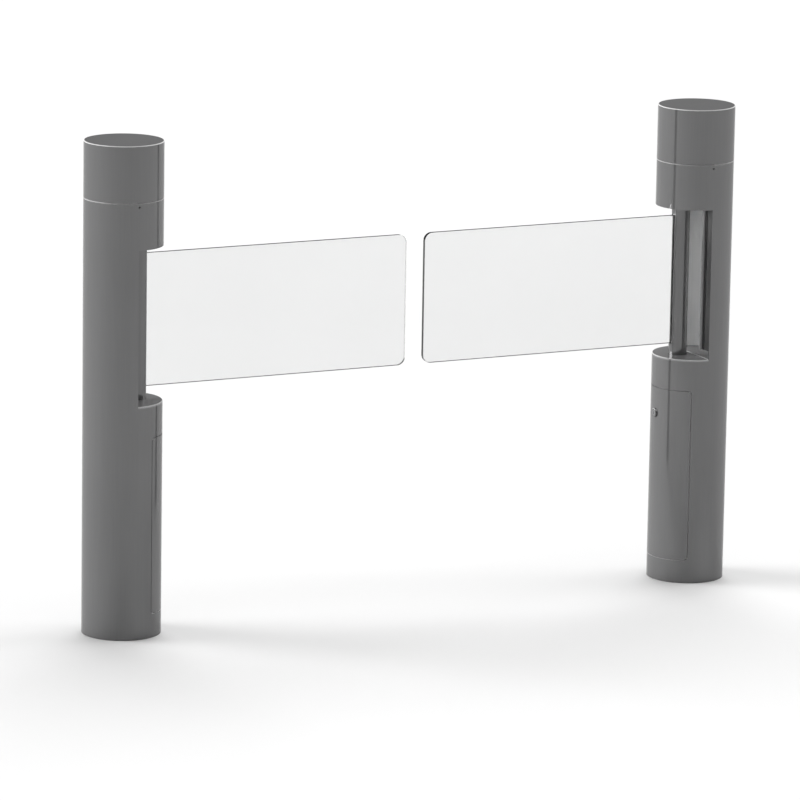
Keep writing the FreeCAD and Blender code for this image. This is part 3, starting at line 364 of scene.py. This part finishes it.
for finishName, finishLook in innerLooks.items():
    innerFinishes[finishName] = surfaceFinish(finishName, finishLook)
    dress(innerFinishes[finishName], *finishLook["nodes"])

wingClearLook = {
    "dark": (0.828, 0.831, 0.831), "light": (0.840, 0.843, 0.843), "gloss": (0.0, 0.012),
    "ior": 1.49, "cloudScale": 3.0,
}


def clearFinish(name, look):
    # clear sheet with a faint uneven tint and polish
    material, tree, shader = startMaterial(name)
    clouds = objectNoise(tree, (1, 1, 1), look["cloudScale"], detail=2.0)
    tree.links.new(twoTone(tree, clouds, look["dark"], look["light"]), shader.inputs["Base Color"])
    tree.links.new(spread(tree, clouds, *look["gloss"]), shader.inputs["Roughness"])
    shader.inputs["Transmission Weight"].default_value = 1.0
    shader.inputs["IOR"].default_value = look["ior"]
    return material


wingClear = clearFinish("clearWingSheet", wingClearLook)
dress(wingClear, *bothSides("wing_panel"))
print("finishes done")


# modelling helpers

shop = {
    "smoothBelow": math.radians(32),
    "mergeWithin": 1e-6,
    "sameLevel": 1e-5,
    "longEdge": 0.001,
}


def pickNothing():
    bpy.ops.object.select_all(action="DESELECT")


def pickOnly(piece):
    pickNothing()
    piece.select_set(True)
    bpy.context.view_layer.objects.active = piece


def namePiece(name):
    # the object just added gets its name, and its place goes into its mesh
    piece = bpy.context.object
    piece.name = name
    piece.data.name = name
    bpy.ops.object.transform_apply(location=True, rotation=True, scale=True)
    return piece


def addBlock(name, middle, sizes):
    pickNothing()
    bpy.ops.mesh.primitive_cube_add(size=1, location=middle, scale=sizes)
    return namePiece(name)


def addRod(name, middle, radius, length, around, lying=False):
    pickNothing()
    bpy.ops.mesh.primitive_cylinder_add(
        vertices=around, radius=radius, depth=length, location=middle,
        rotation=(math.pi / 2 if lying else 0, 0, 0))
    return namePiece(name)


def startPicking(kind):
    bpy.ops.object.mode_set(mode="EDIT")
    bpy.ops.mesh.select_mode(type=kind)
    bpy.ops.mesh.select_all(action="DESELECT")
    bpy.ops.object.mode_set(mode="OBJECT")


def pickFaces(piece, test):
    startPicking("FACE")
    for face in piece.data.polygons:
        face.select = test(face.center, face.normal)
    bpy.ops.object.mode_set(mode="EDIT")


def pickEdges(piece, test):
    startPicking("EDGE")
    points = piece.data.vertices
    for edge in piece.data.edges:
        edge.select = test(*[points[index].co for index in edge.vertices])
    bpy.ops.object.mode_set(mode="EDIT")


def runsAlong(axis):
    return lambda a, b: abs(a[axis] - b[axis]) > shop["longEdge"]


def roundUprights(piece, corner, segments):
    pickEdges(piece, runsAlong(2))
    bpy.ops.mesh.bevel(offset=corner, segments=segments, affect="EDGES")
    bpy.ops.object.mode_set(mode="OBJECT")


def closeUp():
    bpy.ops.mesh.select_all(action="SELECT")
    bpy.ops.mesh.remove_doubles(threshold=shop["mergeWithin"])
    bpy.ops.mesh.normals_make_consistent(inside=False)
    bpy.ops.object.mode_set(mode="OBJECT")


def turnPiece(name, centre, along, steps, around):
    # a disc drawn out along its axis: each step is a radius and a distance from the centre
    along = Vector(along)
    lying = abs(along.y) > 0.5
    radius, reached = steps[0]
    pickNothing()
    bpy.ops.mesh.primitive_circle_add(
        vertices=around, radius=radius, fill_type="NGON",
        location=Vector(centre) + along * reached, rotation=(math.pi / 2 if lying else 0, 0, 0))
    piece = namePiece(name)
    bpy.ops.object.mode_set(mode="EDIT")
    bpy.ops.mesh.select_mode(type="FACE")
    bpy.ops.mesh.select_all(action="SELECT")
    for wide, far in steps[1:]:
        ratio = wide / radius
        bpy.ops.mesh.extrude_region_move(TRANSFORM_OT_translate={"value": along * (far - reached)})
        bpy.ops.transform.resize(
            value=(ratio, 1, ratio) if lying else (ratio, ratio, 1), center_override=centre)
        radius, reached = wide, far
    closeUp()
    return piece


def cutAway(piece, cutter):
    cut = piece.modifiers.new("cut", "BOOLEAN")
    cut.operation = "DIFFERENCE"
    cut.solver = "EXACT"
    cut.object = cutter
    pickOnly(piece)
    bpy.ops.object.modifier_apply(modifier=cut.name)
    bpy.data.objects.remove(cutter)


def joinPieces(pieces):
    pickOnly(pieces[0])
    for piece in pieces[1:]:
        piece.select_set(True)
    bpy.ops.object.join()
    return pieces[0]


def rowOf(piece, count, pitch):
    # copies in one mesh, side by side along the lane's width
    row = piece.modifiers.new("row", "ARRAY")
    row.count = count
    row.use_relative_offset = False
    row.use_constant_offset = True
    row.constant_offset_displace = (pitch, 0, 0)
    pickOnly(piece)
    bpy.ops.object.modifier_apply(modifier=row.name)


def copyPiece(piece, name, shift=(0, 0, 0), halfTurn=False):
    # a copy with its own mesh, moved, or half a turn round the middle of the lane
    pickOnly(piece)
    bpy.ops.object.duplicate(linked=False)
    twin = bpy.context.object
    twin.location = shift
    twin.rotation_euler = (0, 0, math.pi if halfTurn else 0)
    return namePiece(name)


def fitPiece(piece, finish, body, slot, *stoodFor):
    piece.data.materials.clear()
    piece.data.materials.append(finish)
    pickOnly(piece)
    bpy.ops.object.shade_smooth_by_angle(angle=shop["smoothBelow"])
    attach(piece, body)
    if stoodFor:
        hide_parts(*stoodFor)


def fourCorners(piece, base, acrossLane):
    # the piece at the left post's front gets its copies at the other post and at both backs
    backRight = copyPiece(piece, f"{base}_rightBack", halfTurn=True)
    frontRight = copyPiece(piece, f"{base}_rightFront", (acrossLane, 0, 0))
    backLeft = copyPiece(backRight, f"{base}_leftBack", (-acrossLane, 0, 0))
    return piece, frontRight, backLeft, backRight


# socket set screws that hold the head caps and clamp the wings

capScrewLook = {
    "start": (-0.675, -0.076, 0.921), "along": (0, -1, 0), "radius": 0.002, "length": 0.007,
    "pitch": 0.0007, "threadDepth": 0.00032, "socket": 0.002, "socketDepth": 0.0022, "acrossLane": 1.350,
}
clampScrewLook = {
    "start": (-0.634, 0.006, 0.5609375), "along": (0, 1, 0), "radius": 0.003, "length": 0.010,
    "pitch": 0.001, "threadDepth": 0.00046, "socket": 0.003, "socketDepth": 0.0032, "acrossLane": 1.268,
    "count": 4, "rise": 0.070875,
}
threadShape = {
    "around": 24, "cupHollow": 0.40, "cupRim": 0.72, "cupDepth": 0.5, "lead": 0.6,
    "crestFrom": 0.38, "crestTo": 0.56, "rootAt": 0.94, "tail": 1.6, "headWidth": 0.9, "headEdge": 0.2,
}


def makeSetScrew(name, look, thread):
    core = look["radius"] - look["threadDepth"]
    crest, pitch, length = look["radius"], look["pitch"], look["length"]
    far = thread["lead"] * pitch
    steps = [(thread["cupHollow"] * core, thread["cupDepth"] * pitch),
             (thread["cupRim"] * core, 0.0), (core, far)]
    while far + thread["tail"] * pitch < length:
        steps += [(crest, far + thread["crestFrom"] * pitch), (crest, far + thread["crestTo"] * pitch),
                  (core, far + thread["rootAt"] * pitch)]
        far += pitch
    steps += [(core, length - thread["headEdge"] * pitch), (thread["headWidth"] * core, length)]
    screw = turnPiece(name, look["start"], look["along"], steps, thread["around"])
    socketAt = Vector(look["start"]) + Vector(look["along"]) * length
    socketRadius = look["socket"] / math.sqrt(3)
    cutAway(screw, addRod("socketCutter", socketAt, socketRadius, 2 * look["socketDepth"], 6, lying=True))
    return screw


screwFinish = innerFinishes["blackScrewSteel"]
capScrew = makeSetScrew("capSetScrew_leftFront", capScrewLook, threadShape)
for screw in fourCorners(capScrew, "capSetScrew", capScrewLook["acrossLane"]):
    fitPiece(screw, screwFinish, "posts", "screw_steel", "cap_screws")
clampScrew = makeSetScrew("clampSetScrew_left1", clampScrewLook, threadShape)
for side in sides:
    across = clampScrewLook["acrossLane"] if side == "right" else 0
    for index in range(clampScrewLook["count"]):
        screw = clampScrew
        if across or index:
            upwards = index * clampScrewLook["rise"]
            screw = copyPiece(clampScrew, f"clampSetScrew_{side}{index + 1}", (across, 0, upwards))
        fitPiece(screw, screwFinish, f"{side}_wing", "screw_steel", f"{side}_clamp_screws")
print("set screws done")

# rubber edging pushed over the free edges of the window's folded lips

edgingLook = {
    "middle": (-0.67625, -0.05945, 0.6739), "sizes": (0.0065, 0.0075, 0.3118),
    "corner": 0.0015, "cornerSteps": 4,
    "slot": 0.0027, "slotDepth": 0.0043, "acrossLane": 1.3525,
}
bulbLook = {
    "middle": (-0.6708, -0.0548, 0.6739), "radius": 0.0035, "hollow": 0.0022, "length": 0.3118,
    "around": 28, "acrossLane": 1.3416,
}


def makeEdging(name, look):
    strip = addBlock(name, look["middle"], look["sizes"])
    roundUprights(strip, look["corner"], look["cornerSteps"])
    slotAt = Vector(look["middle"]) - Vector((0, look["sizes"][1] / 2, 0))
    slotSizes = (look["slot"], 2 * look["slotDepth"], 2 * look["sizes"][2])
    cutAway(strip, addBlock("slotCutter", slotAt, slotSizes))
    return strip


def makeBulb(name, look):
    # the soft hollow bulb on the edging's side towards the lane
    bulb = addRod(name, look["middle"], look["radius"], look["length"], look["around"])
    cutAway(bulb, addRod("bulbCutter", look["middle"], look["hollow"], 2 * look["length"], look["around"]))
    return bulb


edging = makeEdging("lipEdging_leftFront", edgingLook)
for strip in fourCorners(edging, "lipEdging", edgingLook["acrossLane"]):
    fitPiece(strip, innerFinishes["blackRubber"], "posts", "rubber_black")
bulb = makeBulb("lipBulb_leftFront", bulbLook)
for strip in fourCorners(bulb, "lipBulb", bulbLook["acrossLane"]):
    fitPiece(strip, innerFinishes["greyGasketRubber"], "posts", "rubber_black")
print("edging done")

# geared drive motors

motorLook = {
    "centre": (-0.697, 0, 0.302), "can": 0.024, "endCap": 0.021, "boss": 0.007, "length": 0.070,
    "around": 64, "bossEdge": 0.0005, "bossHeight": 0.002, "capEdge": 0.0015,
    "canStart": 0.010, "canEdge": 0.0008,
    "grooves": (0.014, 0.061), "grooveDepth": 0.0008, "grooveSteps": (0.0007, 0.0017, 0.0024),
    "vents": 8, "ventSizes": (0.005, 0.0065, 0.0036), "ventLevel": 0.0066,
}


def motorProfile(look):
    can, endCap, boss = look["can"], look["endCap"], look["boss"]
    low, high = look["bossHeight"], look["canStart"]
    steps = [(boss - look["bossEdge"], 0), (boss, look["bossEdge"]), (boss, low),
             (endCap - look["capEdge"], low), (endCap, low + look["capEdge"]), (endCap, high),
             (can - look["canEdge"], high), (can, high + look["canEdge"])]
    narrow = can - look["grooveDepth"]
    for groove in look["grooves"]:  # rolled grooves near both ends of the can
        down, up, out = [groove + step for step in look["grooveSteps"]]
        steps += [(can, groove), (narrow, down), (narrow, up), (can, out)]
    return steps + [(can, look["length"])]


def makeMotor(name, look):
    motor = turnPiece(name, look["centre"], (0, 0, 1), motorProfile(look), look["around"])
    cutters = []
    for index in range(look["vents"]):
        turn = 2 * math.pi * (index + 0.5) / look["vents"]
        ventAt = Vector((look["endCap"] * math.cos(turn), look["endCap"] * math.sin(turn), look["ventLevel"]))
        pickNothing()
        bpy.ops.mesh.primitive_cube_add(
            size=1, scale=look["ventSizes"], rotation=(0, 0, turn), location=Vector(look["centre"]) + ventAt)
        cutters.append(namePiece(f"ventCutter{index}"))
    cutAway(motor, joinPieces(cutters))
    return motor


leftMotor = makeMotor("driveMotor_left", motorLook)
rightMotor = copyPiece(leftMotor, "driveMotor_right", halfTurn=True)
for side, motor in zip(sides, (leftMotor, rightMotor)):
    fitPiece(motor, innerFinishes["blackMotorEnamel"], "posts", "motor_enamel", f"{side}_drive_motor")
print("motors done")

# control boards under the head caps

boardLook = {
    "middle": (-0.675, 0, 0.8528), "sizes": (0.100, 0.076, 0.0016), "corner": 0.003, "cornerSteps": 5,
    "hole": 0.0016, "holeAt": (0.044, 0.032), "holeAround": 24, "drillLength": 0.006,
}
terminalLook = {
    "middle": (-0.675, 0.030, 0.8596), "sizes": (0.060, 0.010, 0.012), "cells": 10, "wall": 0.0011,
    "wireDepth": 0.005, "screwDepth": 0.0026, "screwRadius": 0.0017, "screwHeight": 0.0012,
    "screwAround": 20, "headEdgeAt": 0.7, "headTop": 0.85, "slotWidth": 0.0006,
}
heatSinkLook = {
    "middle": (-0.692, -0.012, 0.8556), "sizes": (0.034, 0.024, 0.004), "strips": 15,
    "finHeight": 0.014, "finEdge": 0.0003,
}
capacitorLook = {
    "centre": (-0.650, -0.019, 0.8536), "radius": 0.008, "height": 0.026, "crimp": 0.0006,
    "crimpSteps": (0.0024, 0.0032, 0.0038, 0.0046), "topEdge": (0.0007, 0.0009), "rim": 0.0017,
    "dish": (0.0019, 0.0005), "around": 40,
}
chipLook = {
    "middle": (-0.652, 0.006, 0.8546), "sizes": (0.012, 0.012, 0.0016), "edge": 0.0002,
    "legs": 8, "legPitch": 0.00127, "legWidth": 0.0004, "legThick": 0.00016, "legRoot": 0.0002,
    "legOut": 0.0007, "legDrop": 0.00092, "legBends": ((1.0, 0.0), (0.5, 1.0), (1.0, 0.0)),
}


def makeBoardPlate(name, look):
    plate = addBlock(name, look["middle"], look["sizes"])
    roundUprights(plate, look["corner"], look["cornerSteps"])
    drills = []
    for x in (-1, 1):
        for y in (-1, 1):
            holeAt = Vector(look["middle"]) + Vector((x * look["holeAt"][0], y * look["holeAt"][1], 0))
            drills.append(addRod(f"drill{x}{y}", holeAt, look["hole"], look["drillLength"], look["holeAround"]))
    cutAway(plate, joinPieces(drills))
    return plate


def cutAlong(piece, parts):
    # the edges along the lane's width are divided, which slices the block across
    pickEdges(piece, runsAlong(0))
    bpy.ops.mesh.subdivide(number_cuts=parts - 1)
    bpy.ops.object.mode_set(mode="OBJECT")


def makeTerminals(name, look):
    block = addBlock(name, look["middle"], look["sizes"])
    cutAlong(block, look["cells"])
    for axis, depth in ((1, look["wireDepth"]), (2, look["screwDepth"])):
        outside = look["middle"][axis] + look["sizes"][axis] / 2 - shop["sameLevel"]
        normal = Vector([float(axis == index) for index in range(3)])
        pickFaces(block, lambda centre, facing: facing[axis] > 0.9 and centre[axis] > outside)
        bpy.ops.mesh.inset(thickness=look["wall"], use_individual=True)
        bpy.ops.mesh.extrude_region_move(TRANSFORM_OT_translate={"value": -depth * normal})
        bpy.ops.object.mode_set(mode="OBJECT")
    return block


def makeTerminalScrews(name, look):
    pitch = look["sizes"][0] / look["cells"]
    x = look["middle"][0] - look["sizes"][0] / 2 + pitch / 2
    low = look["middle"][2] + look["sizes"][2] / 2 - look["screwDepth"]
    radius, high = look["screwRadius"], look["screwHeight"]
    y = look["middle"][1]
    steps = [(radius, 0), (radius, look["headEdgeAt"] * high), (look["headTop"] * radius, high)]
    head = turnPiece(name, (x, y, low), (0, 0, 1), steps, look["screwAround"])
    cutAway(head, addBlock("slotCutter", (x, y, low + high), (4 * radius, look["slotWidth"], high)))
    rowOf(head, look["cells"], pitch)
    return head


def makeHeatSink(name, look):
    sink = addBlock(name, look["middle"], look["sizes"])
    cutAlong(sink, look["strips"])
    start = look["middle"][0] - look["sizes"][0] / 2
    strip = look["sizes"][0] / look["strips"]
    pickFaces(sink, lambda centre, facing: facing.z > 0.9 and int((centre.x - start) / strip) % 2 == 0)
    bpy.ops.mesh.extrude_region_move(TRANSFORM_OT_translate={"value": (0, 0, look["finHeight"])})
    top = look["middle"][2] + look["sizes"][2] / 2 + look["finHeight"]
    pickEdges(sink, lambda a, b: min(a.z, b.z) > top - shop["sameLevel"])
    bpy.ops.mesh.bevel(offset=look["finEdge"], segments=2, affect="EDGES")
    closeUp()
    return sink


def makeCapacitor(name, look):
    radius, high = look["radius"], look["height"]
    narrow = radius - look["crimp"]
    into, low, up, out = look["crimpSteps"]
    edgeIn, edgeDown = look["topEdge"]
    dishIn, dishDown = look["dish"]
    steps = [(narrow, 0), (radius, look["crimp"]), (radius, into), (narrow, low), (narrow, up), (radius, out),
             (radius, high - edgeDown), (radius - edgeIn, high), (radius - look["rim"], high),
             (radius - dishIn, high - dishDown)]
    return turnPiece(name, look["centre"], (0, 0, 1), steps, look["around"])


def makeChipLegs(name, look):
    # one bent leg drawn out from the side of the chip, then a row of them and the row's twin
    middle = Vector(look["middle"])
    firstLeg = Vector((-look["legPitch"] * (look["legs"] - 1) / 2, -look["sizes"][1] / 2 + look["legRoot"], 0))
    pickNothing()
    bpy.ops.mesh.primitive_plane_add(size=1, rotation=(math.pi / 2, 0, 0), location=middle + firstLeg)
    bpy.context.object.scale = (look["legWidth"], look["legThick"], 1)
    leg = namePiece(name)
    bpy.ops.object.mode_set(mode="EDIT")
    bpy.ops.mesh.select_mode(type="FACE")
    bpy.ops.mesh.select_all(action="SELECT")
    for out, drop in look["legBends"]:
        bpy.ops.mesh.extrude_region_move(
            TRANSFORM_OT_translate={"value": (0, -out * look["legOut"], -drop * look["legDrop"])})
    closeUp()
    rowOf(leg, look["legs"], look["legPitch"])
    facing = copyPiece(leg, "farLegs", halfTurn=True)  # the copy comes back over the chip
    facing.location = (2 * middle.x, 2 * middle.y, 0)
    pickOnly(facing)
    bpy.ops.object.transform_apply(location=True, rotation=True, scale=True)
    return joinPieces([leg, facing])


def makeChip(name, look):
    chip = addBlock(name, look["middle"], look["sizes"])
    pickFaces(chip, lambda centre, facing: facing.z > 0.9)
    bpy.ops.mesh.inset(thickness=look["edge"], depth=0)
    bpy.ops.mesh.select_all(action="SELECT")
    bpy.ops.mesh.bevel(offset=look["edge"], segments=2, affect="EDGES")
    bpy.ops.object.mode_set(mode="OBJECT")
    return chip


boardPieces = (
    (makeBoardPlate, "boardPlate", boardLook, "greenBoardMask", "board_green"),
    (makeTerminals, "terminalBlock", terminalLook, "greyTerminalPolymer", "bush_polymer"),
    (makeTerminalScrews, "terminalScrews", terminalLook, "tinnedBrass", "screw_steel"),
    (makeHeatSink, "heatSink", heatSinkLook, "castAluminium", "housing_aluminium"),
    (makeCapacitor, "capacitor", capacitorLook, "darkSleeve", "motor_enamel"),
    (makeChip, "controllerChip", chipLook, "blackBushPolymer", "bush_polymer"),
    (makeChipLegs, "controllerLegs", chipLook, "tinnedBrass", "screw_steel"),
)
for make, name, look, finishName, slotName in boardPieces:
    made = make(f"{name}_left", look)
    twin = copyPiece(made, f"{name}_right", halfTurn=True)
    for side, piece in zip(sides, (made, twin)):
        fitPiece(piece, innerFinishes[finishName], "posts", slotName, f"{side}_control_board")
print("control boards done")


# camera at the photo's angle

cameraSet = {
    "aim": (-0.02962, 0.0, 0.44835),
    "distance": 12.538,
    "azimuth": -25.877,
    "elevation": 12.007,
    "roll": 0.93,
    "lens": 263.49,
    "sensor": 36,
}


def backFrom(azimuth, elevation):
    a, e = math.radians(azimuth), math.radians(elevation)
    return Vector((math.sin(a) * math.cos(e), -math.cos(a) * math.cos(e), math.sin(e)))


def placeCamera(look):
    back = backFrom(look["azimuth"], look["elevation"])
    bpy.ops.object.camera_add(location=Vector(look["aim"]) + back * look["distance"])
    camera = bpy.context.object
    camera.name = "photoCamera"
    level = (-back).to_track_quat("-Z", "Y")
    rolled = level @ Quaternion((0, 0, 1), math.radians(look["roll"]))
    camera.rotation_euler = rolled.to_euler()
    camera.data.lens = look["lens"]
    camera.data.sensor_width = look["sensor"]
    bpy.context.scene.camera = camera


placeCamera(cameraSet)

# pale floor and soft studio light

studio = {
    "floorSize": 400.0,
    "floorDrop": 0.0003,
    "floorRough": 0.9,
    "floorClouds": 0.6,
    "floorDark": (0.722, 0.722, 0.722),
    "floorLight": (0.74, 0.74, 0.74),
    "worldTone": (0.26, 0.26, 0.26),
    "suns": {
        "backSun": {"from": (0.35, 0.61, 0.90), "width": 40, "power": 1.75},
        "leftSun": {"from": (-0.84, 0.52, 0.14), "width": 40, "power": 5.6},
        "rightSun": {"from": (0.97, 0.0, 0.26), "width": 50, "power": 2.4},
        "topSun": {"from": (0.0, -0.1, 1.0), "width": 40, "power": 0.65},
    },
}


def layFloor(look):
    pickNothing()
    bpy.ops.mesh.primitive_plane_add(size=look["floorSize"], location=(0, 0, -look["floorDrop"]))
    floor = bpy.context.object
    floor.name = "studioFloor"
    material, tree, shader = startMaterial("paleFloor")
    clouds = objectNoise(tree, (1, 1, 1), look["floorClouds"], detail=2.0)
    tree.links.new(twoTone(tree, clouds, look["floorDark"], look["floorLight"]), shader.inputs["Base Color"])
    shader.inputs["Roughness"].default_value = look["floorRough"]
    shader.inputs["Specular IOR Level"].default_value = 0.0
    floor.data.materials.append(material)


def hangSun(name, look):
    bpy.ops.object.light_add(type="SUN", location=(0, 0, 4))
    sun = bpy.context.object
    sun.name = name
    sun.data.energy = look["power"]
    sun.data.angle = math.radians(look["width"])
    sun.rotation_euler = (-Vector(look["from"])).to_track_quat("-Z", "Y").to_euler()


def paintWorld(look):
    world = bpy.data.worlds.new("studioWorld")
    world.use_nodes = True
    world.node_tree.nodes["Background"].inputs["Color"].default_value = (*look["worldTone"], 1)
    bpy.context.scene.world = world


layFloor(studio)
for sunName, sunLook in studio["suns"].items():
    hangSun(sunName, sunLook)
paintWorld(studio)
bpy.context.scene.view_settings.view_transform = "Standard"
print("camera, floor and light done")
